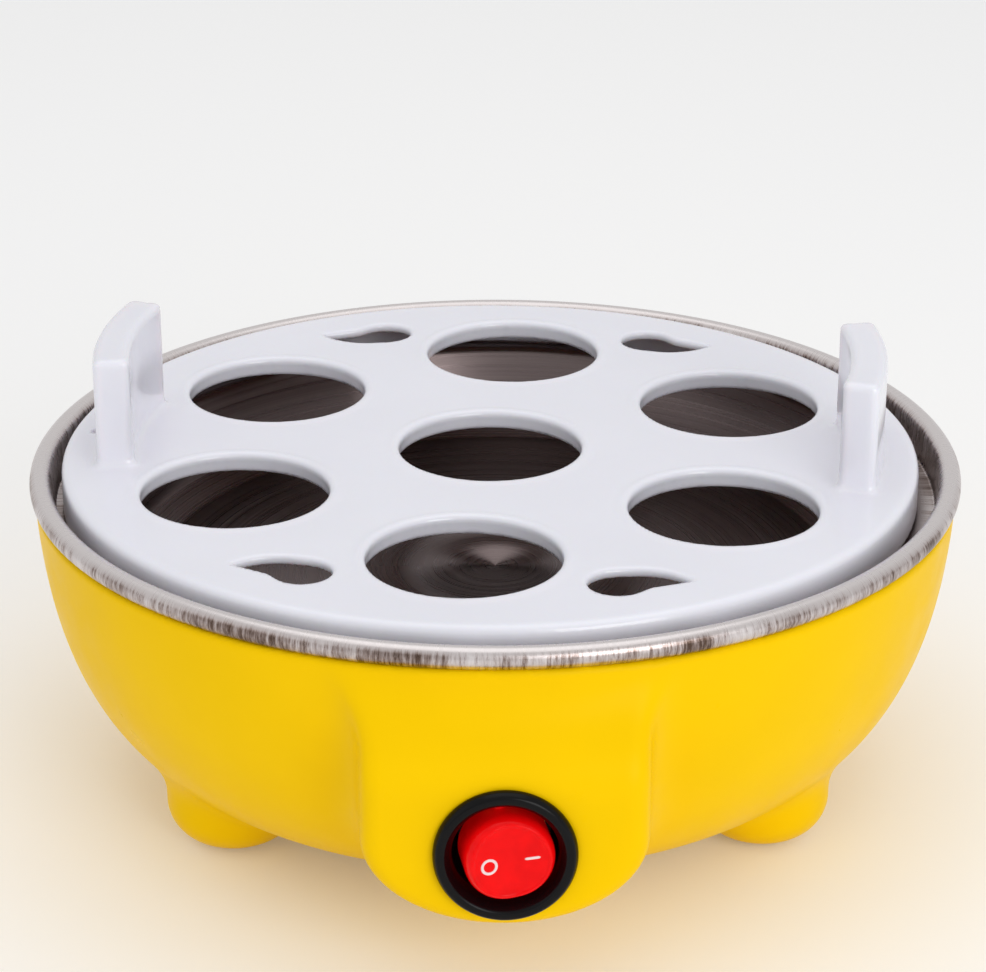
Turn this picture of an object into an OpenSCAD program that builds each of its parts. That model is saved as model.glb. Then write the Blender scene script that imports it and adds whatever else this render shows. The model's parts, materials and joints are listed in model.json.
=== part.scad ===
// Electric egg cooker without its lid: a round moulded housing with four stub feet and a switch
// boss, a stainless water pan with a rolled rim over a heater, and a lift-out rack for seven eggs.
// Origin: floor centre under the pan. The switch faces -Y, +Z is up. Millimetres.

/* [Housing] */
// Height of the rolled rim's centre above the floor
rim_z = 58.8; // [56:0.1:62]
// Outer radius of the rolled rim
rim_r = 83; // [81:0.5:85]
// Wall thickness of the moulded housing
wall = 2.4; // [1.8:0.1:3]
// Radius of the stub feet
foot_r = 12; // [11:0.5:12.5]
// Sideways distance of the feet from the centre
foot_x = 46.5; // [42:0.5:50]
// Fore and aft distance of the feet from the centre
foot_y = 30.5; // [27:0.5:33]

/* [Switch] */
// Width of the boss that holds the switch
boss_w = 46; // [40:1:50]
// Height of the switch centre above the floor
switch_z = 28.4; // [26:0.2:31]
// Outer radius of the switch bezel
bezel_r = 11.5; // [11:0.1:12]
// Radius of the panel hole for the switch body
cutout_r = 10.1; // [10:0.05:10.3]
// Turn of the round switch in its hole, anticlockwise from the front
switch_turn = 8; // [0:1:12]
// Tilt of the rocker to each side of its middle
rocker_tilt = 9; // [6:1:10]

/* [Rack] */
// Outer radius of the egg rack
rack_r = 76.4; // [75:0.1:77.2]
// Height of the rack's flat top above the floor
rack_z = 61.7; // [61:0.1:63]
// Radius of the egg holes
hole_r = 16.3; // [15:0.1:18]
// Distance from the centre to the six outer egg holes
hole_pitch = 48.8; // [47:0.1:50]
// Turn of the rack in the pan
rack_turn = -6; // [-12:1:12]
// Where the loose rack lies to the left (-) or right (+) of the middle of the pan
rack_shift = -0.9; // [-1.2:0.1:1.2]
// Height of the handle tops above the floor
handle_z = 81.5; // [76:1:88]

/* [Pan and heater] */
// Sheet thickness of the pan
sheet = 0.6; // [0.5:0.1:0.8]
// Height of the pan's floor above the ground
pan_floor = 38; // [36:1:40]
// Radius of the heater's half circle
heater_r = 24; // [22:1:26]
// Radius of the heater tube
tube_r = 3.25; // [3:0.05:3.5]
// Height of the clamp bar's underside
bar_z = 20.5; // [19:0.5:22]

/* [Cord inlet] */
// Height of the cord inlet at the back
cord_z = 26; // [24:1:30]
// Radius of the cord hole in the grommet
cord_r = 3.1; // [2.8:0.1:3.4]

/* [Hidden] */

$fn = 64;
bead_r = 1.9;
bead_ring = rim_r - bead_r;
bottom_z = 3.6;
bottom_r = 39.5;
top_r = rim_r - 0.8;
top_z = rim_z - bead_r;
arc_steps = 24;
shelf_z = bottom_z + 2.2;
shelf_top = shelf_z + 2.2;
shelf_r = 29;
pillar_x = 50;
clamp_x = 9;
inlet_y = 80;
block_z = 12.2;
front_y = -89;
pivot_y = front_y + 2.4;
stud_x = 14;
spreader_z = pan_floor - sheet - 3;
bar_thick = 1.5;
wire_r = 1.1;
yellow = [0.98, 0.82, 0.02];
steel = [0.72, 0.70, 0.69];
black = [0.07, 0.07, 0.07];

// Point of a cubic Bezier curve through the control points p
function bezier(p, t) = pow(1 - t, 3) * p[0] + 3 * t * pow(1 - t, 2) * p[1]
    + 3 * t * t * (1 - t) * p[2] + pow(t, 3) * p[3];
function bowl_curve(inset) = [
    [bottom_r, bottom_z + inset],
    [68 - 0.6 * inset, 5.4 + inset],
    [80.5 - inset, 21 + 0.4 * inset],
    [top_r - inset, top_z]];
function bowl_points(inset) = [for (i = [0 : arc_steps]) bezier(bowl_curve(inset), i / arc_steps)];

// Places the children at the four corners of a rectangle
module corners(x, y) {
    for (sx = [-1, 1], sy = [-1, 1]) translate([sx * x, sy * y, 0]) children();
}

// A cylinder along +Y from y, centred on x and z
module rod_y(x, y, z, length, radius) {
    translate([x, y, z]) rotate([-90, 0, 0]) cylinder(h = length, r = radius);
}

// Puts the children at distance y along the switch's own centre line
module in_switch(y) {
    translate([0, y, switch_z]) rotate([0, -switch_turn, 0]) children();
}

// End of the left (-1) or right (1) switch terminal
function terminal_end(side) = [side * 6 * cos(switch_turn), front_y + 24.2,
    switch_z + side * 6 * sin(switch_turn)];

module bowl_solid(inset) {
    rotate_extrude($fn = 96)
        polygon(concat([[0, bottom_z + inset]], bowl_points(inset), [[0, top_z]]));
}

// Front outline of the switch boss: upright sides over a half ellipse
module boss_outline(inset, top) {
    half = boss_w / 2 - inset;
    drop = 14.6 - inset;
    polygon(concat([[half, top], [-half, top]],
        [for (a = [180 : 10 : 360]) [half * cos(a), switch_z + 1.6 + drop * sin(a)]]));
}

module boss_slice(y, depth, inset, top) {
    translate([0, y + depth, 0]) rotate([90, 0, 0])
        linear_extrude(height = depth) boss_outline(inset, top);
}

module boss_solid() {
    hull() {
        boss_slice(front_y, 1, 1.6, 41);
        boss_slice(front_y + 2.2, 1, 0, 44);
        boss_slice(-76, 1, 0, 54);
    }
    boss_slice(-76, 26, 0, 54);
}

module foot_solid() {
    round = 7.5;
    rotate_extrude($fn = 48) polygon(concat([[0, 0.4]],
        [for (a = [-90 : 10 : 0]) [foot_r - round + round * cos(a), 0.4 + round + round * sin(a)]],
        [[foot_r, 19], [0, 19]]));
}

module foot_hollow() {
    translate([0, 0, 3.6]) cylinder(h = 9, r = foot_r - wall - 1.2, $fn = 48);
}

module housing() {
    color(yellow) difference() {
        union() {
            difference() {
                union() {
                    bowl_solid(0);
                    boss_solid();
                    corners(foot_x, foot_y) foot_solid();
                    rod_y(0, 60, cord_z, inlet_y - 60, 10.5);
                }
                bowl_solid(wall);
                boss_slice(front_y + wall, 40, wall, switch_z + 11.2);
                corners(foot_x, foot_y) foot_hollow();
                translate([0, 0, top_z]) cylinder(h = 20, r = 90);
            }
            translate([0, 0, shelf_z]) difference() {
                cylinder(h = shelf_top - shelf_z, r = bottom_r + 4);
                translate([0, 0, -1]) cylinder(h = 6, r = shelf_r);
            }
            corners(24, 24) translate([0, 0, shelf_z]) cylinder(h = 9, r = 3.6);
            for (s = [-1, 1]) translate([s * pillar_x, 0, 7.4]) cylinder(h = bar_z - 7.4, r = 4.5);
            for (s = [-1, 1]) translate([s * clamp_x, 62, 12])
                cylinder(h = cord_z - cord_r - 12, r = 3.2);
            translate([-27, 42, 8.6]) cube([16, 8, block_z - 8.6]);
        }
        translate([0, 0, bottom_z - 1]) cylinder(h = 3.2, r = 37.6);
        corners(24, 24) translate([0, 0, shelf_z - 1]) cylinder(h = 8, r = 1.25, $fn = 24);
        for (s = [-1, 1]) translate([s * pillar_x, 0, bar_z - 9]) cylinder(h = 12, r = 1.3, $fn = 24);
        for (s = [-1, 1]) translate([s * clamp_x, 62, 15]) cylinder(h = 20, r = 1.05, $fn = 24);
        corners(foot_x, foot_y) translate([0, 0, -1]) cylinder(h = 2.6, r = 4.1, $fn = 32);
        rod_y(0, front_y - 1, switch_z, 6, cutout_r);
        rod_y(0, 60, cord_z, 40, 6.1);
    }
}

module bottom_cover() {
    color(black) difference() {
        translate([0, 0, bottom_z]) cylinder(h = shelf_z - bottom_z, r = 37.4);
        corners(24, 24) translate([0, 0, 0]) cylinder(h = 20, r = 1.7, $fn = 24);
        for (x = [-20 : 8 : 20]) translate([x - 1.25, -9, 0]) cube([2.5, 18, 20]);
    }
}

module foot_pads() {
    color([0.2, 0.2, 0.2]) corners(foot_x, foot_y) rotate_extrude($fn = 32)
        polygon([[0, 0], [3.4, 0], [3.9, 0.5], [4, 1.6], [0, 1.6]]);
}

// A pan head screw standing on z = 0, its shank rising
module screw(head_r, head_h, shank_r, length) {
    translate([0, 0, -head_h]) difference() {
        rotate_extrude($fn = 32) polygon([[0, 0], [head_r - 0.7, 0], [head_r, 0.8],
            [head_r, head_h], [shank_r, head_h], [shank_r, head_h + length - 1],
            [0.2, head_h + length], [0, head_h + length]]);
        for (a = [0, 90]) rotate(a) translate([-head_r * 0.6, -0.35, -1])
            cube([head_r * 1.2, 0.7, 1.8]);
    }
}

module cover_screws() {
    color(steel) corners(24, 24) translate([0, 0, bottom_z]) screw(2.9, 1.6, 1.25, 7.6);
}

// Sheet metal profile: a rolled rim, a wall, a ledge for the rack, a sloping side and a flat floor
module heating_pan() {
    inner = bead_ring - bead_r;
    ledge = 53.2;
    color(steel) rotate_extrude($fn = 128) difference() {
        union() {
            translate([bead_ring, rim_z]) circle(r = bead_r, $fn = 32);
            polygon([[0, pan_floor - sheet], [61, pan_floor - sheet], [67.5, pan_floor + 2.5],
                [72.6, ledge], [inner, ledge], [inner + 0.4, ledge + 0.7],
                [inner + 0.5, rim_z], [inner, rim_z], [inner - 0.2, ledge + 1],
                [inner - 0.5, ledge + sheet], [72, ledge + sheet],
                [66.9, pan_floor + 2.8], [60.8, pan_floor], [0, pan_floor]]);
        }
        translate([bead_ring, rim_z]) circle(r = bead_r - sheet, $fn = 32);
    }
}

module heat_spreader() {
    color([0.8, 0.8, 0.82]) difference() {
        translate([0, 0, spreader_z]) cylinder(h = 3, r = 36);
        for (s = [-1, 1]) translate([0, s * 13, spreader_z - 1]) cylinder(h = 3, r = 1.4, $fn = 24);
    }
}

// U-shaped sheathed tube brazed under the spreader, open to the back
module heating_element() {
    color([0.55, 0.55, 0.58]) translate([0, 0, spreader_z - tube_r]) {
        rotate([0, 0, 180]) rotate_extrude(angle = 180, $fn = 64)
            translate([heater_r, 0]) circle(r = tube_r, $fn = 32);
        for (s = [-1, 1]) rod_y(s * heater_r, 0, 0, 34, tube_r);
    }
}

// Ceramic ends with spade tabs
module element_tabs() {
    color([0.9, 0.88, 0.84]) for (s = [-1, 1]) translate([0, 0, spreader_z - tube_r]) {
        rod_y(s * heater_r, 34, 0, 4, tube_r - 0.5);
        translate([s * heater_r - 0.4, 38, -2.4]) cube([0.8, 8, 4.8]);
    }
}

module pan_studs() {
    color(steel) for (s = [-1, 1]) translate([s * stud_x, 0, bar_z - 5])
        cylinder(h = spreader_z - bar_z + 5, r = 2, $fn = 32);
}

module clamp_bar() {
    color([0.7, 0.71, 0.74]) difference() {
        translate([-pillar_x - 6, -6, bar_z]) cube([2 * pillar_x + 12, 12, bar_thick]);
        for (s = [-1, 1]) {
            translate([s * stud_x, 0, 0]) cylinder(h = 40, r = 2.2, $fn = 32);
            translate([s * pillar_x, 0, 0]) cylinder(h = 40, r = 1.7, $fn = 32);
        }
    }
}

module stud_nuts() {
    color(steel) for (s = [-1, 1]) translate([s * stud_x, 0, bar_z - 3.2]) difference() {
        cylinder(h = 3.2, r = 4.04, $fn = 6);
        translate([0, 0, -1]) cylinder(h = 6, r = 2, $fn = 32);
    }
}

module bar_screws() {
    color(steel) for (s = [-1, 1]) translate([s * pillar_x, 0, bar_z + bar_thick])
        rotate([180, 0, 0]) screw(2.9, 1.8, 1.3, 9);
}

// Snap disc thermostat pressed to the middle of the spreader
module thermostat() {
    color([0.16, 0.14, 0.13]) {
        translate([0, 0, spreader_z - 1.5]) cylinder(h = 1.5, r = 8.2);
        translate([0, 0, spreader_z - 8]) cylinder(h = 6.5, r = 7.4);
        for (s = [-1, 1]) translate([s * 7.4 - 2.5, -3.2 * s - 2.4, spreader_z - 9])
            cube([5, 4.8, 1]);
    }
}

module thermostat_bracket() {
    color(steel) difference() {
        translate([-10, -16, spreader_z - 2.3]) cube([20, 32, 0.8]);
        translate([0, 0, 0]) cylinder(h = 50, r = 7.7);
        for (s = [-1, 1]) translate([0, s * 13, 0]) cylinder(h = 50, r = 1.6, $fn = 24);
    }
}

module thermostat_screws() {
    color(steel) for (s = [-1, 1]) translate([0, s * 13, spreader_z - 2.3])
        screw(2.6, 1.4, 1.4, 4);
}

// Thermal cut-out in its woven sleeve, lying along the spreader
module thermal_fuse() {
    color([0.92, 0.9, 0.84]) rod_y(31.5, -8, spreader_z - 2.1, 18, 2);
}

module fuse_clip() {
    color(steel) difference() {
        translate([28.8, -2, spreader_z - 4.8]) cube([5.4, 4, 4.8]);
        rod_y(31.5, -3, spreader_z - 2.1, 6, 2.02);
    }
}

module terminal_block() {
    color([0.93, 0.92, 0.88]) difference() {
        translate([-30, 40, block_z]) cube([22, 12, 9]);
        for (x = [-26, -18.5, -11.5]) {
            rod_y(x, 39, 16.5, 14, 1.5);
            translate([x, 46, 17]) cylinder(h = 5, r = 1.6, $fn = 24);
        }
    }
}

module block_screw() {
    color(steel) for (x = [-26, -18.5, -11.5]) translate([x, 46, 18.8])
        cylinder(h = 1.8, r = 1.5, $fn = 24);
}

// Rubber grommet in the back wall; the cord hole runs right through it
module cord_grommet() {
    color(black) difference() {
        union() {
            rod_y(0, inlet_y - 6, cord_z, 7, 6);
            rod_y(0, inlet_y, cord_z, 2, 8);
            rod_y(0, inlet_y + 2, cord_z, 2.5, 5.2);
        }
        rod_y(0, 60, cord_z, 40, cord_r);
    }
}

// Saddle that holds the cord down on two pillars
module cord_clamp() {
    seat = cord_z - cord_r;
    color(black) difference() {
        translate([-12, 58, seat]) cube([24, 8, 7.7]);
        rod_y(0, 57, cord_z, 10, cord_r);
        translate([-cord_r, 57, seat - 1]) cube([2 * cord_r, 10, cord_r + 1]);
        for (s = [-1, 1]) translate([s * clamp_x, 62, 10]) cylinder(h = 40, r = 1.4, $fn = 24);
    }
}

module clamp_screws() {
    color(steel) for (s = [-1, 1]) translate([s * clamp_x, 62, cord_z - cord_r + 7.7])
        rotate([180, 0, 0]) screw(2.2, 1.5, 1.05, 14);
}

// Bezel and barrel of the round snap-in switch
module switch_body() {
    color(black) in_switch(front_y) rotate([90, 0, 0]) difference() {
        rotate_extrude($fn = 96) polygon(concat(
            [[0, -15], [9.9, -15], [9.9, 0], [bezel_r, 0], [bezel_r, 0.8]],
            [for (a = [0 : 15 : 90]) [bezel_r - 1.2 + 1.2 * cos(a), 0.8 + 1.2 * sin(a)]],
            [[9.4, 2], [8.6, 0.4], [8.4, -1], [8.4, -13], [0, -13]]));
        for (x = [-6, 0, 6]) translate([x - 0.45, -2.5, -16]) cube([0.9, 5, 4]);
        translate([0, 0, -2.4]) rotate([90, 0, 0])
            translate([0, 0, -9.2]) cylinder(h = 18.4, r = 1.05, $fn = 32);
    }
}

// Round paddle with two flats; the shallow V faces -Y and turns about its own trunnions
module rocker() {
    reach = 7.35;
    color([0.85, 0.05, 0.05]) in_switch(pivot_y) rotate([0, 0, rocker_tilt]) {
        intersection() {
            rod_y(0, -8, 0, 11, reach);
            translate([0, 0, -10]) linear_extrude(height = 20) polygon([
                [-8, 2.2], [-8, -5 - 8 * tan(rocker_tilt)], [0, -5],
                [8, -5 - 8 * tan(rocker_tilt)], [8, 2.2]]);
        }
        translate([0, 0, -9.1]) cylinder(h = 18.2, r = 1, $fn = 32);
    }
}

module rocker_plunger() {
    color([0.9, 0.9, 0.9]) in_switch(pivot_y) rotate([0, 0, rocker_tilt])
        rod_y(0, 2.2, 0, 5.1, 1.2);
}

// Rocking contact on the middle terminal
module contact_lever() {
    color([0.8, 0.6, 0.3]) in_switch(front_y + 10.8) rotate([0, 0, -rocker_tilt])
        translate([-6.4, -0.5, -1.5]) cube([12.8, 0.8, 3]);
}

module switch_terminals() {
    color([0.8, 0.65, 0.3]) in_switch(front_y + 12.6) for (x = [-6, 0, 6])
        translate([x - 0.4, 0, -2.4]) cube([0.8, 11.4, 4.8]);
}

module switch_lamp() {
    color([1, 0.6, 0.3]) in_switch(front_y + 8.2) translate([-3, 0, 4.2]) rotate([0, 90, 0])
        cylinder(h = 6, r = 1.3, $fn = 24);
}

// Insulated wire: an eight-sided tube swept along a smooth curve through the given points
function unit(v) = v / norm(v);
function smooth(p, i, t) = let (
        a = p[max(i - 1, 0)], b = p[i], c = p[i + 1], d = p[min(i + 2, len(p) - 1)])
    0.5 * (2 * b + (c - a) * t + (2 * a - 5 * b + 4 * c - d) * t * t
        + (3 * b - a - 3 * c + d) * t * t * t);
function route(p) = concat([for (i = [0 : len(p) - 2], t = [0 : 0.25 : 0.8]) smooth(p, i, t)],
    [p[len(p) - 1]]);
function heading(p, i) = unit(p[min(i + 1, len(p) - 1)] - p[max(i - 1, 0)]);

module wire(points, tint) {
    sides = 8;
    path = route(points);
    last = len(path) - 1;
    rings = [for (i = [0 : last]) let (
            side = unit(cross(heading(path, i), [0, 0, 1])),
            up = cross(side, heading(path, i)))
        for (k = [0 : sides - 1]) path[i]
            + wire_r * (cos(45 * k) * side + sin(45 * k) * up)];
    walls = [for (i = [0 : last - 1], k = [0 : sides - 1]) let (
            a = i * sides + k, b = i * sides + (k + 1) % sides)
        each [[a, b, a + sides], [b, b + sides, a + sides]]];
    color(tint) polyhedron(rings, concat([[for (k = [sides - 1 : -1 : 0]) k]], walls,
        [[for (k = [0 : sides - 1]) last * sides + k]]));
}

module live_wire() {
    wire([[-26, 39.8, 16.5], [-26, 30, 16.5], [-38, 10, 15], [-30, -45, 15], [-10, -55, 24],
        terminal_end(-1) + [0, 5, 0], terminal_end(-1)], [0.35, 0.2, 0.1]);
}

module switched_wire() {
    wire([terminal_end(1), terminal_end(1) + [0, 5, 0], [14, -34, 25], [12, -16, 25.4],
        [7.8, -6.6, 25.9]], [0.8, 0.8, 0.8]);
}

module neutral_wire() {
    wire([[-18.5, 52.2, 16.5], [-18.5, 58, 20], [-24, 54, 28], [-24, 46.8, 31]],
        [0.1, 0.2, 0.7]);
}

// Comma-shaped steam slot: a round bulb towards one side and a tail that narrows to a point
module slot_cut(mirrored) {
    mirror([0, mirrored ? 1 : 0, 0]) rotate([0, 0, -4.9]) translate([62.8, 0, rack_z - 6])
        linear_extrude(height = 12) {
            translate([-0.2, -0.9]) circle(r = 4.9, $fn = 32);
            intersection() {
                translate([5.2, 1]) circle(r = 9.9);
                translate([-5, -1]) square([8.3, 14]);
            }
        }
}

module egg_hole_lip() {
    translate([0, 0, rack_z - 3.4]) difference() {
        cylinder(h = 3.4, r = hole_r + 1.5);
        translate([0, 0, -1]) cylinder(h = 6, r = hole_r);
    }
}

module place_holes() {
    children();
    for (a = [30 : 60 : 330]) rotate(a) translate([hole_pitch, 0, 0]) children();
}

// Curved upright handle, hollow and open below
module handle() {
    rotate([0, 0, -14]) rotate_extrude(angle = 28, $fn = 96)
        translate([63.6, rack_z - 2]) square([6.4, handle_z - rack_z + 2]);
}

module handle_hollow() {
    rotate([0, 0, -12.6]) rotate_extrude(angle = 25.2, $fn = 96)
        translate([65.2, rack_z - 6]) square([3.2, handle_z - rack_z + 4.4]);
}

module egg_rack() {
    color([0.95, 0.94, 0.97]) translate([rack_shift, 0, 0]) rotate([0, 0, rack_turn]) difference() {
        union() {
            rotate_extrude($fn = 128) polygon([[0, rack_z - 1.8], [rack_r - 1.6, rack_z - 1.8],
                [rack_r - 1.6, 54.1], [rack_r, 54.1], [rack_r, rack_z - 1.2],
                [rack_r - 0.4, rack_z - 0.3], [rack_r - 1.2, rack_z], [0, rack_z]]);
            place_holes() egg_hole_lip();
            for (a = [0, 180]) rotate(a) handle();
        }
        place_holes() translate([0, 0, rack_z - 10]) cylinder(h = 20, r = hole_r);
        for (a = [0, 180]) rotate(a) handle_hollow();
        for (a = [-60, 120]) rotate(a) slot_cut(false);
        for (a = [-120, 60]) rotate(a) slot_cut(true);
    }
}

housing();
bottom_cover();
foot_pads();
cover_screws();
heating_pan();
heat_spreader();
heating_element();
element_tabs();
pan_studs();
clamp_bar();
stud_nuts();
bar_screws();
thermostat();
thermostat_bracket();
thermostat_screws();
thermal_fuse();
fuse_clip();
terminal_block();
block_screw();
cord_grommet();
cord_clamp();
clamp_screws();
switch_body();
rocker();
rocker_plunger();
contact_lever();
switch_terminals();
switch_lamp();
live_wire();
switched_wire();
neutral_wire();
egg_rack();
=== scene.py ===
import json
import math

import bpy
import numpy as np
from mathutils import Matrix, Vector


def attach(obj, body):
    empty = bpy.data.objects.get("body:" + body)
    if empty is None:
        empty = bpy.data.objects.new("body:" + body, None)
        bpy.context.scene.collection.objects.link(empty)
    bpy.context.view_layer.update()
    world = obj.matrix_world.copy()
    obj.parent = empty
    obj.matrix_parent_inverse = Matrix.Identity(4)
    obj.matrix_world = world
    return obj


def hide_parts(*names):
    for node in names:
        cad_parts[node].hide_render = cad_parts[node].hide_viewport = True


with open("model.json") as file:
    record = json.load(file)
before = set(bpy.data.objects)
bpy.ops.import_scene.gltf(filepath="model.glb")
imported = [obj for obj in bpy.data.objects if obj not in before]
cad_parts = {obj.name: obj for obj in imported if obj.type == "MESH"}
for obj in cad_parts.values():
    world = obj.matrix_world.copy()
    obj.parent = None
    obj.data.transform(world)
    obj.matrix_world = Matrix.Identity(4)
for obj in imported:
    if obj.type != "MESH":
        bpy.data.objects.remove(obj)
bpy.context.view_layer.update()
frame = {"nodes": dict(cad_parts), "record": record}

MM = 0.001

# Egg cooker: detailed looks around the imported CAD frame.
# ---------------------------------------------------------------- sizes, in millimetres
RIM_Z = 58.8
RIM_R = 83.0
BEAD_R = 1.9
BEAD_RING = RIM_R - BEAD_R
BOWL_TOP = RIM_Z - BEAD_R
BOWL_TOP_R = RIM_R - 0.8
WALL = 2.4
BOTTOM_Z = 3.6
BOTTOM_R = 39.5
FOOT_X = 46.5
FOOT_Y = 30.5
FOOT_R = 12.0
FOOT_ROUND = 7.5
FOOT_Z = 0.4
PAD_HOLE_R = 4.1
REBATE_R = 37.6
SHELF_R = 29.0
BOSS_HALF = 23.0
BOSS_DROP = 15.6
BOSS_LEAN_Z = 42.5
FRONT_Y = -89.0
SWITCH_Z = 28.4
SWITCH_TURN = math.radians(8)
ROCKER_TILT = math.radians(9)
CUTOUT_R = 10.1
PIVOT_Y = FRONT_Y + 2.4
CORD_Z = 26.0
INLET_Y = 80.0
INLET_R = 10.5
GROMMET_R = 6.1
RACK_R = 76.4
RACK_Z = 61.7
HOLE_R = 16.3
HOLE_PITCH = 48.8
RACK_TURN = math.radians(-6)
RACK_SHIFT = -0.9
HANDLE_Z = 81.5
HANDLE_R = 66.8
PAN_FLOOR = 38.0
LEDGE = 53.2
SHEET = 0.6


# ---------------------------------------------------------------- shapes as signed distances
def smooth_min(a, b, k):
    h = np.clip(0.5 + 0.5 * (b - a) / k, 0, 1)
    return b * (1 - h) + a * h - k * h * (1 - h)


def smooth_max(a, b, k):
    return -smooth_min(-a, -b, k)


def bezier(points, t):
    p = [np.array(q, float) for q in points]
    t = t[:, None]
    return (p[0] * (1 - t) ** 3 + 3 * p[1] * t * (1 - t) ** 2
            + 3 * p[2] * t * t * (1 - t) + p[3] * t ** 3)


def bowl_profile(inset):
    curve = bezier([(BOTTOM_R, BOTTOM_Z + inset), (68 - 0.6 * inset, 5.4 + inset),
                    (80.5 - inset, 21 + 0.4 * inset), (BOWL_TOP_R - inset, BOWL_TOP)],
                   np.linspace(0, 1, 49))
    low = np.array([[-120, BOTTOM_Z + inset]])
    high = np.array([[BOWL_TOP_R - inset, 160], [-120, 160]])
    return np.vstack([low, curve, high])


def polygon_distance(x, y, points):
    """Signed distance from (x, y) to a closed polygon, negative inside."""
    best = np.full(x.shape, 1e9)
    inside = np.zeros(x.shape, bool)
    for (ax, ay), (bx, by) in zip(points, np.roll(points, -1, axis=0)):
        ex, ey = bx - ax, by - ay
        t = np.clip(((x - ax) * ex + (y - ay) * ey) / (ex * ex + ey * ey), 0, 1)
        best = np.minimum(best, (x - ax - t * ex) ** 2 + (y - ay - t * ey) ** 2)
        if ay != by:
            crosses = ((ay > y) != (by > y)) & (x < ex * (y - ay) / (by - ay) + ax)
            inside ^= crosses
    return np.where(inside, -1, 1) * np.sqrt(best)


class Table:
    """A two-dimensional distance worked out once on a grid and read back between its points."""

    def __init__(self, function, low, high, step):
        self.low, self.step = low, step
        self.count = [int((h - l) / step) + 2 for l, h in zip(low, high)]
        grid = np.meshgrid(*[l + step * np.arange(n) for l, n in zip(low, self.count)],
                           indexing="ij")
        self.values = function(*grid)

    def __call__(self, x, y):
        u = np.clip((x - self.low[0]) / self.step, 0, self.count[0] - 1.001)
        v = np.clip((y - self.low[1]) / self.step, 0, self.count[1] - 1.001)
        i, j = u.astype(int), v.astype(int)
        u, v = u - i, v - j
        t = self.values
        return ((t[i, j] * (1 - u) + t[i + 1, j] * u) * (1 - v)
                + (t[i, j + 1] * (1 - u) + t[i + 1, j + 1] * u) * v)


def rounded_box(qx, qy, qz, radius):
    """Distance to a box whose half sizes are already taken off the coordinates."""
    qx, qy, qz = qx + radius, qy + radius, qz + radius
    outside = np.sqrt(np.maximum(qx, 0) ** 2 + np.maximum(qy, 0) ** 2 + np.maximum(qz, 0) ** 2)
    return outside + np.minimum(np.maximum(np.maximum(qx, qy), qz), 0) - radius


def surface_net(field, low, high, cell, relax=2):
    """Quads around the zero surface of field(x, y, z), evened out and pulled on to the surface."""
    axes = [np.arange(l, h + cell, cell) for l, h in zip(low, high)]
    grid = field(*np.meshgrid(*axes, indexing="ij"))
    inside = grid < 0
    corner = [(a, b, c) for a in (0, 1) for b in (0, 1) for c in (0, 1)]
    shape = [n - 1 for n in grid.shape]
    count = sum(inside[a:a + shape[0], b:b + shape[1], c:c + shape[2]].astype(np.int8)
                for a, b, c in corner)
    cells = np.argwhere((count > 0) & (count < 8))
    index = np.full(shape, -1, int)
    index[tuple(cells.T)] = np.arange(len(cells))
    values = {o: grid[tuple((cells + o).T)] for o in corner}
    total, hits = np.zeros((len(cells), 3)), np.zeros(len(cells))
    for a in corner:
        for axis in range(3):
            if a[axis]:
                continue
            b = tuple(v + (k == axis) for k, v in enumerate(a))
            cross = (values[a] < 0) != (values[b] < 0)
            t = np.where(cross, values[a] / np.where(cross, values[a] - values[b], 1), 0)
            point = np.array(a, float) + t[:, None] * np.eye(3)[axis]
            total += np.where(cross[:, None], point, 0)
            hits += cross
    points = np.array(low) + (cells + total / hits[:, None]) * cell
    quads = []
    for axis in range(3):
        u, v = (axis + 1) % 3, (axis + 2) % 3
        first = [slice(1, -1)] * 3
        second = [slice(1, -1)] * 3
        first[axis], second[axis] = slice(0, -1), slice(1, None)
        one, two = inside[tuple(first)], inside[tuple(second)]
        at = np.argwhere(one != two)
        base = at + [0 if k == axis else 1 for k in range(3)]
        out = one[tuple(at.T)]
        ring = []
        for du, dv in ((-1, -1), (0, -1), (0, 0), (-1, 0)):
            spot = base.copy()
            spot[:, u] += du
            spot[:, v] += dv
            ring.append(index[tuple(spot.T)])
        ring = np.array(ring).T
        quads.append(np.where(out[:, None], ring, ring[:, ::-1]))
    quads = np.vstack(quads)
    edges = np.vstack([quads[:, [k, (k + 1) % 4]] for k in range(4)])

    def pull(p, times):
        h = 0.02
        for _ in range(times):
            value = field(*p.T)
            slope = np.stack([(field(*(p + h * np.eye(3)[k]).T)
                               - field(*(p - h * np.eye(3)[k]).T)) / (2 * h)
                              for k in range(3)], 1)
            step = slope * (value / np.maximum((slope ** 2).sum(1), 0.05))[:, None]
            length = np.linalg.norm(step, axis=1, keepdims=True)
            p = p - step * np.minimum(1, 0.6 * cell / np.maximum(length, 1e-9))
        return p

    points = pull(points, 3)
    for _ in range(relax):
        mean, n = np.zeros_like(points), np.zeros(len(points))
        for a, b in ((0, 1), (1, 0)):
            np.add.at(mean, edges[:, a], points[edges[:, b]])
            np.add.at(n, edges[:, a], 1)
        points = pull(0.4 * points + 0.6 * mean / n[:, None], 2)
    return points, quads


# ---------------------------------------------------------------- mesh helpers
def make_mesh(name, points, faces):
    """A smooth-shaded mesh object from points in millimetres."""
    mesh = bpy.data.meshes.new(name)
    mesh.from_pydata((np.asarray(points) * MM).tolist(), [], [tuple(f) for f in
                     (faces.tolist() if hasattr(faces, "tolist") else faces)])
    mesh.validate()
    mesh.update()
    mesh.polygons.foreach_set("use_smooth", [True] * len(mesh.polygons))
    obj = bpy.data.objects.new(name, mesh)
    bpy.context.scene.collection.objects.link(obj)
    return obj


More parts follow.
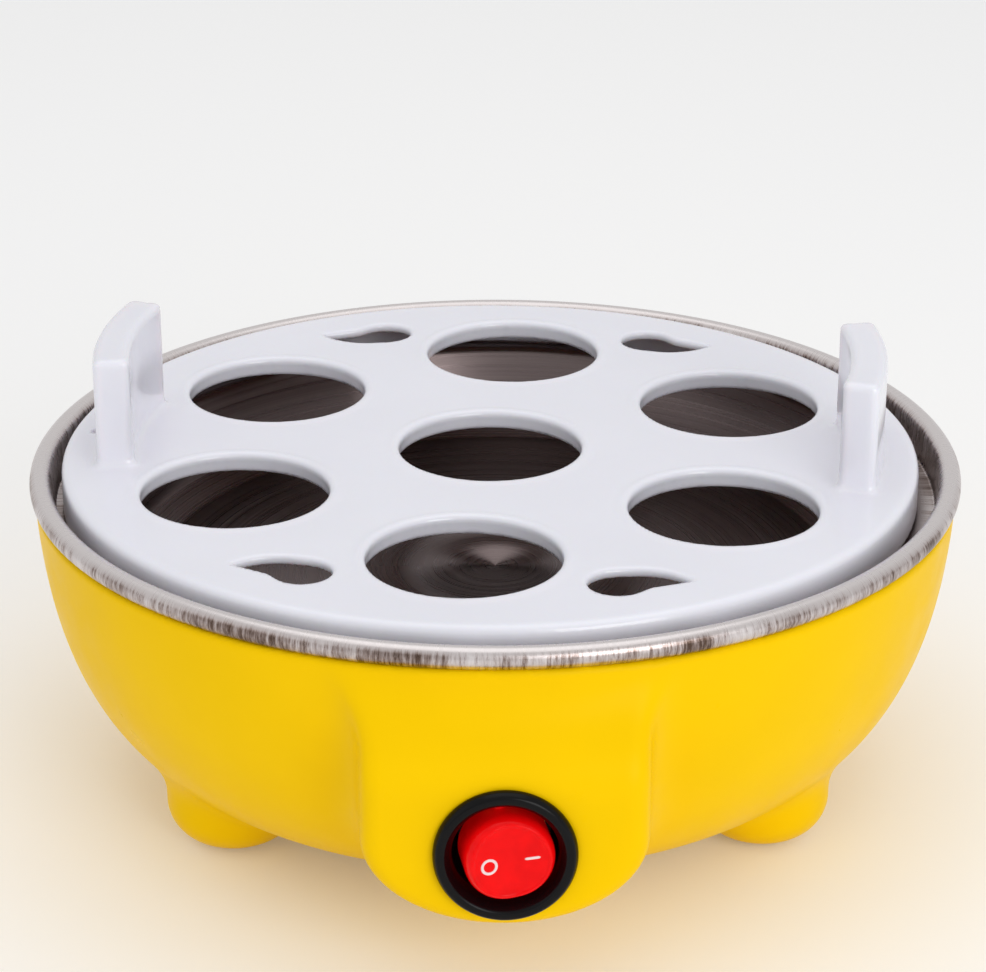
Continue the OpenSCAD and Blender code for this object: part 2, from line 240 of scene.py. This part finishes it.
def lathe(profile, steps=192):
    """Points and quads of a closed profile of (r, z) turned about Z."""
    profile = np.array(profile, float)
    n = len(profile)
    angle = 2 * math.pi * np.arange(steps) / steps
    ring = np.stack([np.outer(np.cos(angle), profile[:, 0]),
                     np.outer(np.sin(angle), profile[:, 0]),
                     np.tile(profile[:, 1], (steps, 1))], 2).reshape(-1, 3)
    quads = []
    for i in range(steps):
        a, b = i * n, (i + 1) % steps * n
        for k in range(n):
            j = (k + 1) % n
            quads.append((a + k, b + k, b + j, a + j))
    return ring, quads


def rounded(points, radius=0.4, steps=4):
    """The closed outline with each corner replaced by a short arc-like curve."""
    points = [np.array(p, float) for p in points]
    out = []
    for i, p in enumerate(points):
        before, after = points[i - 1], points[(i + 1) % len(points)]
        a, b = before - p, after - p
        la, lb = np.linalg.norm(a), np.linalg.norm(b)
        r = min(radius, 0.45 * la, 0.45 * lb)
        start, end = p + a / la * r, p + b / lb * r
        for t in np.linspace(0, 1, steps):
            out.append((1 - t) ** 2 * start + 2 * t * (1 - t) * p + t * t * end)
    return out


def tube_ring(radius, thickness, depth, centre, steps=64, sides=10):
    """A small torus facing -Y: the raised O mark."""
    points, quads = [], []
    for i in range(steps):
        a = 2 * math.pi * i / steps
        for k in range(sides):
            b = 2 * math.pi * k / sides
            r = radius + thickness * math.cos(b)
            points.append((centre[0] + r * math.cos(a), centre[1] + depth * math.sin(b),
                           centre[2] + r * math.sin(a)))
            quads.append((i * sides + k, (i + 1) % steps * sides + k,
                          (i + 1) % steps * sides + (k + 1) % sides, i * sides + (k + 1) % sides))
    return points, quads


def finish_piece(obj, body, material, replaces=None):
    obj.data.materials.clear()
    obj.data.materials.append(material)
    if replaces:
        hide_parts(*replaces)
    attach(obj, body)
    return obj


# ---------------------------------------------------------------- materials
def new_material(name, colour, roughness, **sockets):
    """A Principled material and its nodes; sockets are set directly on the shader."""
    material = bpy.data.materials.new(name)
    material.use_nodes = True
    tree = material.node_tree
    shader = tree.nodes["Principled BSDF"]
    shader.inputs["Base Color"].default_value = (*colour, 1)
    shader.inputs["Roughness"].default_value = roughness
    for key, value in sockets.items():
        shader.inputs[key.replace("_", " ")].default_value = value
    return material, tree, shader


def place(tree, scale=(1, 1, 1)):
    """Object coordinates in millimetres, stretched by scale."""
    coordinates = tree.nodes.new("ShaderNodeTexCoord")
    mapping = tree.nodes.new("ShaderNodeMapping")
    mapping.inputs["Scale"].default_value = [1000 * s for s in scale]
    tree.links.new(coordinates.outputs["Object"], mapping.inputs["Vector"])
    return mapping.outputs["Vector"]


def noise(tree, vector, scale, detail=4, roughness=0.5):
    node = tree.nodes.new("ShaderNodeTexNoise")
    node.inputs["Scale"].default_value = scale
    node.inputs["Detail"].default_value = detail
    node.inputs["Roughness"].default_value = roughness
    tree.links.new(vector, node.inputs["Vector"])
    return node.outputs["Fac"]


def ramp(tree, factor, stops):
    """A colour ramp through (position, colour) stops."""
    node = tree.nodes.new("ShaderNodeValToRGB")
    elements = node.color_ramp.elements
    while len(elements) < len(stops):
        elements.new(0.5)
    for element, (position, colour) in zip(elements, stops):
        element.position = position
        element.color = (*colour, 1)
    tree.links.new(factor, node.inputs["Fac"])
    return node.outputs["Color"]


def spread(tree, factor, low, high, start=0.0, end=1.0):
    """The factor mapped from start..end to low..high."""
    node = tree.nodes.new("ShaderNodeMapRange")
    node.inputs["From Min"].default_value = start
    node.inputs["From Max"].default_value = end
    node.inputs["To Min"].default_value = low
    node.inputs["To Max"].default_value = high
    tree.links.new(factor, node.inputs["Value"])
    return node.outputs["Result"]


def bump(tree, shader, height, distance, strength=1.0):
    """Adds a bump whose full height is distance millimetres."""
    node = tree.nodes.new("ShaderNodeBump")
    node.inputs["Strength"].default_value = strength
    node.inputs["Distance"].default_value = distance * MM
    tree.links.new(height, node.inputs["Height"])
    tree.links.new(node.outputs["Normal"], shader.inputs["Normal"])


def multiply(tree, value, by):
    """A number times a constant or another output."""
    node = tree.nodes.new("ShaderNodeMath")
    node.operation = "MULTIPLY"
    tree.links.new(value, node.inputs[0])
    if isinstance(by, float):
        node.inputs[1].default_value = by
    else:
        tree.links.new(by, node.inputs[1])
    return node.outputs[0]


def blend(tree, factor, first, second):
    """first where the factor is 0, second where it is 1."""
    node = tree.nodes.new("ShaderNodeMix")
    node.data_type = "RGBA"
    tree.links.new(factor, node.inputs["Factor"])
    tree.links.new(first, node.inputs[6])
    tree.links.new(second, node.inputs[7])
    return node.outputs[2]


def shade(colour, amount):
    return tuple(max(0.0, min(1.0, c * amount)) for c in colour)


def moulded(name, colour, roughness=0.3, grain=0.02, tint=0.05, **sockets):
    """Moulded plastic: faint flow marks in the colour, uneven gloss and a very fine orange peel."""
    material, tree, shader = new_material(name, colour, roughness, **sockets)
    vector = place(tree)
    broad = noise(tree, vector, 0.035, 3)
    colours = ramp(tree, broad, [(0.3, shade(colour, 1 - tint)), (0.7, shade(colour, 1 + tint * 0.5))])
    tree.links.new(colours, shader.inputs["Base Color"])
    smear = noise(tree, vector, 0.12, 5, 0.6)
    tree.links.new(spread(tree, smear, roughness * 0.8, roughness * 1.25, 0.3, 0.7),
                   shader.inputs["Roughness"])
    bump(tree, shader, noise(tree, vector, 0.9, 3), grain)
    return material


def brushed(name, colour, roughness=0.3, tint=0.18, grain=0.03, stretch=(0.25, 0.25, 6)):
    """Brushed metal: fine streaks in colour, roughness and bump."""
    material, tree, shader = new_material(name, colour, roughness, Metallic=1.0)
    vector = place(tree, stretch)
    streak = noise(tree, vector, 1.0, 6, 0.65)
    colours = ramp(tree, streak, [(0.3, shade(colour, 1 - tint)), (0.7, shade(colour, 1 + tint * 0.6))])
    tree.links.new(colours, shader.inputs["Base Color"])
    tree.links.new(spread(tree, streak, roughness * 0.75, roughness * 1.4, 0.3, 0.7),
                   shader.inputs["Roughness"])
    bump(tree, shader, streak, grain)
    return material


def around(tree):
    """The angle about Z in radians, the height in metres, and the object coordinates."""
    coordinates = tree.nodes.new("ShaderNodeTexCoord")
    split = tree.nodes.new("ShaderNodeSeparateXYZ")
    tree.links.new(coordinates.outputs["Object"], split.inputs[0])
    angle = tree.nodes.new("ShaderNodeMath")
    angle.operation = "ARCTAN2"
    tree.links.new(split.outputs["Y"], angle.inputs[0])
    tree.links.new(split.outputs["X"], angle.inputs[1])
    return angle.outputs[0], split.outputs["Z"], coordinates.outputs["Object"]


def steel_with_painted_light():
    """Rolled stainless: upright forming and polishing streaks round the bead. Its crown is painted
    lighter as a painted highlight, and its lower side is darkened in brown streaks as a painted
    reflection. The pan's inside is painted dark: its coating, plus painted shade.
    """
    colour = (0.60, 0.555, 0.535)
    material, tree, shader = new_material("pan steel and painted light", colour, 0.3, Metallic=1.0)
    angle, height, position = around(tree)
    join = tree.nodes.new("ShaderNodeCombineXYZ")
    tree.links.new(multiply(tree, angle, BEAD_RING), join.inputs["X"])
    tree.links.new(multiply(tree, height, 120.0), join.inputs["Y"])
    fine = noise(tree, join.outputs[0], 1.5, 5, 0.75)
    broad = noise(tree, join.outputs[0], 0.07, 3, 0.55)
    both = tree.nodes.new("ShaderNodeMath")
    both.operation = "ADD"
    tree.links.new(fine, both.inputs[0])
    tree.links.new(broad, both.inputs[1])
    half = spread(tree, both.outputs[0], 0, 1, 0.72, 1.24)
    flat = tree.nodes.new("ShaderNodeVectorMath")
    flat.operation = "MULTIPLY"
    flat.inputs[1].default_value = (1000, 1000, 0)
    tree.links.new(position, flat.inputs[0])
    radius = tree.nodes.new("ShaderNodeVectorMath")
    radius.operation = "LENGTH"
    tree.links.new(flat.outputs[0], radius.inputs[0])
    rings = tree.nodes.new("ShaderNodeCombineXYZ")
    tree.links.new(radius.outputs["Value"], rings.inputs["X"])
    tree.links.new(multiply(tree, angle, 0.05), rings.inputs["Y"])
    spun = noise(tree, rings.outputs[0], 2.6, 5, 0.7)
    rim = spread(tree, radius.outputs["Value"], 0, 1, 76, 78)
    # lower band of the bead: here the streaks are darkened to a painted brown reflection; above it the
    # light crown is a painted highlight
    low = spread(tree, height, 1, 0, (RIM_Z + 0.8) * MM, (RIM_Z + 1.7) * MM)
    streak_and_reflection_weight = multiply(tree, spread(tree, half, 1, 0), low)
    # ramp from the light crown colour (a painted highlight) to dark brown (a painted reflection laid
    # over real polishing streaks)
    stops = [(0.0, (0.70, 0.655, 0.65)), (0.3, (0.56, 0.50, 0.49)), (0.55, (0.30, 0.235, 0.215)),
             (0.8, (0.10, 0.065, 0.05))]
    colours = ramp(tree, streak_and_reflection_weight, stops)
    # inside of the pan: dark coating in the middle, and painted shade over the steel wall under the
    # rack
    coating_and_painted_shade = ramp(tree, spun, [(0.3, (0.13, 0.10, 0.10)), (0.7, (0.21, 0.17, 0.165))])
    tree.links.new(blend(tree, rim, coating_and_painted_shade, colours), shader.inputs["Base Color"])
    streak = blend(tree, rim, spun, fine)
    tree.links.new(spread(tree, streak, 0.2, 0.42, 0.3, 0.7), shader.inputs["Roughness"])
    bump(tree, shader, streak, 0.04, 0.7)
    return material


def lit_lens():
    """Translucent red cap over a glowing lamp."""
    colour = (0.78, 0.002, 0.003)
    material, tree, shader = new_material(
        "red lens", colour, 0.16, Specular_IOR_Level=0.12, Emission_Strength=0.16,
        Subsurface_Weight=0.12)
    shader.inputs["Subsurface Radius"].default_value = (0.004, 0.0006, 0.0004)
    vector = place(tree)
    broad = noise(tree, vector, 0.25, 3)
    glow = ramp(tree, broad, [(0.3, (0.8, 0.0, 0.0)), (0.7, (1.0, 0.003, 0.002))])
    tree.links.new(glow, shader.inputs["Emission Color"])
    tree.links.new(ramp(tree, broad, [(0.3, shade(colour, 0.85)), (0.7, colour)]),
                   shader.inputs["Base Color"])
    bump(tree, shader, noise(tree, vector, 1.5, 3), 0.01)
    return material


def lamp_glass():
    material, tree, shader = new_material("lamp glass", (1.0, 0.6, 0.35), 0.05,
                                          Transmission_Weight=0.8, Emission_Strength=2.0)
    shader.inputs["Emission Color"].default_value = (1.0, 0.35, 0.12, 1)
    bump(tree, shader, noise(tree, place(tree), 1.2), 0.02)
    return material


def woven():
    """Woven glass sleeve: distorted bands of threads from one wave pattern."""
    colour = (0.86, 0.83, 0.76)
    material, tree, shader = new_material("sleeving", colour, 0.8)
    vector = place(tree)
    wave = tree.nodes.new("ShaderNodeTexWave")
    wave.inputs["Scale"].default_value = 1.6
    wave.inputs["Distortion"].default_value = 1.5
    tree.links.new(vector, wave.inputs["Vector"])
    tree.links.new(ramp(tree, wave.outputs["Fac"], [(0.2, shade(colour, 0.75)), (0.8, colour)]),
                   shader.inputs["Base Color"])
    bump(tree, shader, wave.outputs["Fac"], 0.12)
    return material


materials = {
    "yellow_plastic": moulded("yellow plastic", (0.92, 0.575, 0.0), 0.34, 0.012, 0.035,
                              Specular_IOR_Level=0.04),
    "black_plastic": moulded("black plastic", (0.002, 0.002, 0.0025), 0.22, 0.01, 0.2,
                             Specular_IOR_Level=0.16),
    "rubber": moulded("black rubber", (0.03, 0.03, 0.032), 0.72, 0.03, 0.25),
    "screw_steel": brushed("zinc plated steel", (0.62, 0.61, 0.58), 0.3, 0.1, 0.01, (1, 1, 1)),
    "pan_steel": steel_with_painted_light(),
    "aluminium": brushed("milled aluminium", (0.75, 0.75, 0.77), 0.38, 0.1, 0.02, (4, 0.3, 0.3)),
    "element_sheath": brushed("oxidised sheath", (0.26, 0.24, 0.22), 0.5, 0.35, 0.05, (0.6, 0.6, 0.6)),
    "ceramic": moulded("ceramic", (0.80, 0.76, 0.68), 0.6, 0.03, 0.1),
    "plated_steel": brushed("plated sheet steel", (0.62, 0.62, 0.64), 0.35, 0.12, 0.02, (0.3, 3, 3)),
    "sleeving": woven(),
    "block_plastic": moulded("terminal plastic", (0.82, 0.80, 0.74), 0.45, 0.02, 0.06),
    "red_lens": lit_lens(),
    "brass": brushed("stamped brass", (0.78, 0.55, 0.22), 0.3, 0.15, 0.02, (2, 0.5, 2)),
    "lamp_glass": lamp_glass(),
    "brown_wire": moulded("brown insulation", (0.10, 0.04, 0.02), 0.45, 0.02, 0.15),
    "grey_wire": moulded("grey insulation", (0.42, 0.42, 0.43), 0.45, 0.02, 0.1),
    "blue_wire": moulded("blue insulation", (0.02, 0.07, 0.35), 0.45, 0.02, 0.15),
    "white_plastic": moulded("white plastic", (0.85, 0.82, 0.885), 0.2, 0.008, 0.02,
                             Coat_Weight=0.25, Coat_Roughness=0.1, Subsurface_Weight=0.08),
}


# ---------------------------------------------------------------- the yellow housing
bowl_outer = Table(lambda r, z: polygon_distance(r, z, bowl_profile(0)), (0, -6), (96, 72), 0.3)
bowl_inner = Table(lambda r, z: polygon_distance(r, z, bowl_profile(WALL)), (0, -6), (96, 72), 0.3)


def boss_distance(x, y, z, inset, front):
    """Switch boss: upright sides over a half ellipse, and a front that leans back at the top."""
    half, drop, middle = BOSS_HALF - inset, BOSS_DROP - inset, SWITCH_Z + 1.6
    low = np.minimum(z - middle, 0)
    ratio = np.sqrt((x / half) ** 2 + (low / drop) ** 2) + 1e-6
    slope = np.sqrt((x / half ** 2) ** 2 + (low / drop ** 2) ** 2) / ratio + 1e-6
    outline = (ratio - 1) / np.maximum(slope, 1 / half)
    lean = smooth_max(0 * z, (z - BOSS_LEAN_Z) * 1.08, 5)
    return outline, (front + lean) - y


def foot_distance(x, y, z):
    """A foot with a rounded lower edge, and the distance from its own axis."""
    radius = np.hypot(np.abs(x) - FOOT_X, np.abs(y) - FOOT_Y)
    side, low = radius - FOOT_R + FOOT_ROUND, FOOT_Z + FOOT_ROUND - z
    dome = np.hypot(np.maximum(side, 0), np.maximum(low, 0)) + np.minimum(np.maximum(side, low), 0)
    return np.maximum(dome - FOOT_ROUND, z - 19), radius


def housing_field(x, y, z):
    """Bowl, boss, feet and cord inlet, hollowed, with the inner posts, then the openings cut."""
    r = np.hypot(x, y)
    outline, face = boss_distance(x, y, z, 0, FRONT_Y)
    boss = smooth_max(smooth_max(outline, face, 4), y + 52, 1)
    foot, foot_r = foot_distance(x, y, z)
    inlet = smooth_max(np.hypot(x, z - CORD_Z) - INLET_R, np.abs(y - 66) - (INLET_Y - 66), 1.5)
    outer = smooth_min(bowl_outer(r, z), boss, 6.5)
    outer = smooth_min(outer, foot, 3)
    outer = smooth_min(outer, inlet, 3)
    inner_outline, inner_face = boss_distance(x, y, z, WALL, FRONT_Y + WALL)
    hollow = np.maximum(np.maximum(inner_outline, inner_face), z - SWITCH_Z - 11.2)
    hollow = np.maximum(hollow, y + 50)
    foot_hollow = np.maximum(foot_r - FOOT_R + WALL + 1.2, np.abs(z - 8.1) - 4.5)
    inner = np.minimum(np.minimum(bowl_inner(r, z), hollow), foot_hollow)
    body = smooth_max(outer, -inner, 0.8)
    body = smooth_max(body, z - BOWL_TOP, 0.9)
    shelf = np.maximum(r - BOTTOM_R - 3, np.abs(z - BOTTOM_Z - 3.3) - 1.1)
    body = np.minimum(body, np.maximum(shelf, SHELF_R - r))
    ax, ay = np.abs(x), np.abs(y)
    body = np.minimum(body, np.maximum(np.hypot(ax - 24, ay - 24) - 3.6, np.abs(z - 10.3) - 4.5))
    body = np.minimum(body, np.maximum(np.hypot(ax - 50, y) - 4.5, np.abs(z - 13.9) - 6.5))
    body = np.minimum(body, np.maximum(np.hypot(ax - 9, y - 62) - 3.2, np.abs(z - 17.4) - 5.4))
    body = smooth_max(body, -np.maximum(r - REBATE_R, z - 5.8), 0.5)
    switch = np.maximum(np.hypot(x, z - SWITCH_Z) - CUTOUT_R, y + 80)
    body = smooth_max(body, -switch, 0.4)
    body = smooth_max(body, -np.maximum(np.hypot(x, z - CORD_Z) - GROMMET_R, 60 - y), 0.4)
    return smooth_max(body, -np.maximum(foot_r - PAD_HOLE_R, z - 1.6), 0.3)


def build_housing():
    cell = 1.0
    low, high = (-86, -92, -2), (86, 83, 60)
    points, quads = surface_net(housing_field, low, high, cell)
    obj = make_mesh("housing_shell", points, quads)
    return finish_piece(obj, "base", materials["yellow_plastic"], ["housing"])


# ---------------------------------------------------------------- the egg rack
def slot_distance(radial, along):
    """Comma-shaped slot: a round bulb and a tail between an arc and a straight edge."""
    bulb = np.hypot(radial + 0.2, along + 0.9) - 4.9
    tail = smooth_max(np.hypot(radial - 5.2, along - 1) - 9.9, radial - 3.3, 0.3)
    tail = np.maximum(tail, -1 - along)
    return smooth_min(bulb, tail, 1.2)


def rack_field(x, y, z):
    """A shallow cap with lipped holes, two hollow handles, four slots and a pinhole."""
    r, angle = np.hypot(x, y), np.arctan2(y, x)
    cover = smooth_max(r - RACK_R, z - RACK_Z, 1.7)
    cavity = smooth_max(r - RACK_R + 1.6, z - RACK_Z + 1.8, 1.0)
    body = smooth_max(cover, -cavity, 0.5)
    body = smooth_max(body, 54.1 - z, 0.6)
    hole = np.hypot(x, y)
    for k in range(6):
        a = math.radians(30 + 60 * k)
        hole = np.minimum(hole, np.hypot(x - HOLE_PITCH * math.cos(a), y - HOLE_PITCH * math.sin(a)))
    lip = smooth_max(np.abs(hole - HOLE_R - 0.75) - 0.8, np.abs(z - 59.9) - 1.7, 0.5)
    body = smooth_min(body, lip, 0.8)
    side = (np.abs(angle) > math.pi / 2) * math.pi
    turn = np.angle(np.exp(1j * (angle - side)))
    along = np.abs(turn) * HANDLE_R
    ear = rounded_box(np.abs(r - HANDLE_R) - 3.2, along - 16.3, np.abs(z - 70) - (HANDLE_Z - 70), 1.1)
    ear = np.maximum(ear, 59.9 - z)
    body = smooth_min(body, ear, 1.6)
    hollow = rounded_box(np.abs(r - HANDLE_R) - 1.6, along - 14.7, np.abs(z - 65.4) - 14.5, 0.6)
    body = smooth_max(body, -hollow, 0.3)
    body = smooth_max(body, HOLE_R - hole, 1.1)
    for gap, mirrored in ((-60, 1), (120, 1), (-120, -1), (60, -1)):
        a = math.radians(gap - 4.9 * mirrored)
        u = x * math.cos(a) + y * math.sin(a) - 62.8
        v = (-x * math.sin(a) + y * math.cos(a)) * mirrored
        body = smooth_max(body, -slot_distance(u, v), 0.7)
    pin = np.hypot(x + 71.9, y - 0.6) - 0.8
    return smooth_max(body, -pin, 0.2)


def build_rack():
    cell = 0.7
    points, quads = surface_net(rack_field, (-78.5, -78.5, 53), (78.5, 78.5, 83), cell)
    c, s = math.cos(RACK_TURN), math.sin(RACK_TURN)
    points = np.stack([points[:, 0] * c - points[:, 1] * s + RACK_SHIFT,
                       points[:, 0] * s + points[:, 1] * c, points[:, 2]], 1)
    obj = make_mesh("rack_moulding", points, quads)
    return finish_piece(obj, "rack", materials["white_plastic"], ["egg_rack"])


# ---------------------------------------------------------------- the water pan
def build_pan():
    inner = BEAD_RING - BEAD_R
    bead = [(BEAD_RING + BEAD_R * math.cos(a), RIM_Z + BEAD_R * math.sin(a))
            for a in np.linspace(math.radians(185), math.radians(-160), 44)]
    curl = [(BEAD_RING + (BEAD_R - SHEET) * math.cos(a), RIM_Z + (BEAD_R - SHEET) * math.sin(a))
            for a in np.linspace(math.radians(-160), math.radians(180), 36)]
    inside = rounded([(60.8, PAN_FLOOR), (66.9, PAN_FLOOR + 2.8), (72, LEDGE + SHEET),
                      (inner - 0.5, LEDGE + SHEET), (inner - 0.2, LEDGE + 1.4)], 1.2, 5)
    outside = rounded([(inner + 0.4, LEDGE + 0.9), (inner, LEDGE), (72.6, LEDGE),
                       (67.5, PAN_FLOOR + 2.5), (61, PAN_FLOOR - SHEET)], 1.2, 5)
    start = [(0.05, PAN_FLOOR), (20, PAN_FLOOR), (40, PAN_FLOOR)]
    end = [(40, PAN_FLOOR - SHEET), (20, PAN_FLOOR - SHEET), (0.05, PAN_FLOOR - SHEET)]
    profile = start + inside[2:-2] + bead + curl + outside[2:-2] + end
    points, quads = lathe(profile, 256)
    obj = make_mesh("water_pan", points, [q[::-1] for q in quads])
    return finish_piece(obj, "base", materials["pan_steel"], ["heating_pan"])


# ---------------------------------------------------------------- the switch
def switch_space(points, y, tilt=0.0):
    """Places switch points: a tilt about the rocker's pins, then the turn of the whole switch."""
    p = np.asarray(points, float)
    c, s = math.cos(tilt), math.sin(tilt)
    p = np.stack([p[:, 0] * c - p[:, 1] * s, p[:, 0] * s + p[:, 1] * c, p[:, 2]], 1)
    c, s = math.cos(SWITCH_TURN), math.sin(SWITCH_TURN)
    p = np.stack([p[:, 0] * c - p[:, 2] * s, p[:, 1], p[:, 0] * s + p[:, 2] * c], 1)
    return p + [0, y, SWITCH_Z]


def build_bezel():
    profile = rounded([(9.9, -15), (9.9, -0.05), (11.5, -0.05), (11.5, 0.9), (10.9, 1.9), (9.7, 2.0),
                       (8.7, 0.6), (8.4, -1), (8.4, -13), (0.05, -13), (0.05, -15)], 0.45, 5)
    ring, quads = lathe(profile, 128)
    turned = np.stack([ring[:, 0], -ring[:, 2], ring[:, 1]], 1)
    obj = make_mesh("switch_bezel", switch_space(turned, FRONT_Y), quads)
    return finish_piece(obj, "base", materials["black_plastic"], ["switch_body"])


def rocker_field(x, y, z):
    """A round cap with a bevelled, V-shaped face, and its two pins."""
    slope = math.tan(ROCKER_TILT)
    r = np.hypot(x, z)
    face = (-5 - np.sqrt(x * x + 0.25) * slope) - y
    body = smooth_max(r - 7.3, 0.78 * (r - 6.35) + 0.62 * face, 0.8)
    body = smooth_max(body, face, 0.2)
    dish = np.maximum(r - 5.95, -face - 0.16)
    body = smooth_max(body, -dish, 0.15)
    body = smooth_max(body, y - 2.2, 0.6)
    return np.minimum(body, np.maximum(np.hypot(x, y) - 1, np.abs(z) - 9.1))


def build_rocker():
    points, quads = surface_net(rocker_field, (-8.4, -7.4, -10), (8.4, 3.4, 10), 0.22)
    obj = make_mesh("rocker_cap", switch_space(points, PIVOT_Y, ROCKER_TILT), quads)
    return finish_piece(obj, "rocker", materials["red_lens"], ["rocker"])


def mark_height(x):
    return -4.86 - math.sqrt(x * x + 0.25) * math.tan(ROCKER_TILT)


def build_marks():
    """The raised ring and bar that stand for off and on."""
    white, tree, shader = new_material("mark paint", (0.85, 0.70, 0.70), 0.45)
    bump(tree, shader, noise(tree, place(tree), 2.0), 0.02)
    points, quads = tube_ring(1.15, 0.24, 0.16, (-3.5, mark_height(-3.5), 0))
    points = np.array(points)
    points[:, 1] += (-3.5 - points[:, 0]) * -math.tan(ROCKER_TILT)
    ring = make_mesh("off_mark", switch_space(points, PIVOT_Y, ROCKER_TILT), quads)
    finish_piece(ring, "rocker", white)
    bar, faces = [], []
    sides, steps = 10, 12
    for i in range(steps + 1):
        x = 2.2 + 2.5 * i / steps
        swell = math.sqrt(max(0.02, 1 - (2 * i / steps - 1) ** 8))
        for k in range(sides):
            a = 2 * math.pi * k / sides
            bar.append((x, mark_height(x) + 0.16 * swell * math.sin(a), 0.24 * swell * math.cos(a)))
    for i in range(steps):
        for k in range(sides):
            faces.append((i * sides + k, i * sides + (k + 1) % sides,
                          (i + 1) * sides + (k + 1) % sides, (i + 1) * sides + k))
    faces.append(tuple(range(sides))[::-1])
    faces.append(tuple(steps * sides + k for k in range(sides)))
    dash = make_mesh("on_mark", switch_space(bar, PIVOT_Y, ROCKER_TILT), faces)
    finish_piece(dash, "rocker", white)


# ---------------------------------------------------------------- CAD nodes that keep their shape
def dress_nodes():
    slots = {part["node"]: part["material_slot"] for part in frame["record"]["subparts"]}
    for name, obj in frame["nodes"].items():
        material = materials[slots[name]]
        if not obj.data.materials:
            obj.data.materials.append(material)
        for i in range(len(obj.data.materials)):
            obj.data.materials[i] = material


# ---------------------------------------------------------------- stage, lights and camera
def build_stage():
    size = 3.0
    points = [(-size, -size, 0), (size, -size, 0), (size, size, 0), (-size, size, 0)]
    mesh = bpy.data.meshes.new("floor")
    mesh.from_pydata(points, [], [(0, 1, 2, 3)])
    floor = bpy.data.objects.new("floor", mesh)
    bpy.context.scene.collection.objects.link(floor)
    material, _, shader = new_material("pale floor", (0.88, 0.88, 0.88), 0.8, Emission_Strength=0.1)
    shader.inputs["Emission Color"].default_value = (1, 1, 1, 1)
    mesh.materials.append(material)


def area_light(name, at, target, size, power):
    data = bpy.data.lights.new(name, "AREA")
    data.shape = "RECTANGLE"
    data.size = size
    data.size_y = size
    data.energy = power
    light = bpy.data.objects.new(name, data)
    light.location = at
    light.rotation_euler = (Vector(target) - Vector(at)).to_track_quat("-Z", "Y").to_euler()
    bpy.context.scene.collection.objects.link(light)


def build_lights():
    world = bpy.data.worlds.new("studio")
    bpy.context.scene.world = world
    world.use_nodes = True
    tree = world.node_tree
    background = tree.nodes["Background"]
    background.inputs["Color"].default_value = (1, 1, 1, 1)
    background.inputs["Strength"].default_value = 0.74
    middle = (0, 0, 0.04)
    area_light("key", (0.38, -0.72, 0.36), middle, 0.4, 1.9)
    area_light("fill", (-0.70, -0.40, 0.40), middle, 0.6, 0.2)
    area_light("top", (0, 0.1, 0.9), middle, 0.8, 1.2)


def build_camera():
    elevation, azimuth, distance = math.radians(22.8), math.radians(-1.0), 0.5567
    target = Vector((-0.0004, 0, 0.0537))
    away = Vector((math.sin(azimuth) * math.cos(elevation),
                   -math.cos(azimuth) * math.cos(elevation), math.sin(elevation)))
    data = bpy.data.cameras.new("camera")
    data.lens = 112.6
    data.sensor_width = 36
    data.clip_start = 0.01
    camera = bpy.data.objects.new("camera", data)
    camera.location = target + away * distance
    camera.rotation_euler = (-away).to_track_quat("-Z", "Y").to_euler()
    bpy.context.scene.collection.objects.link(camera)
    bpy.context.scene.camera = camera


bpy.context.scene.view_settings.view_transform = "Standard"
build_camera()
build_lights()
build_stage()
dress_nodes()
build_housing()
build_rack()
build_pan()
build_bezel()
build_rocker()
build_marks()
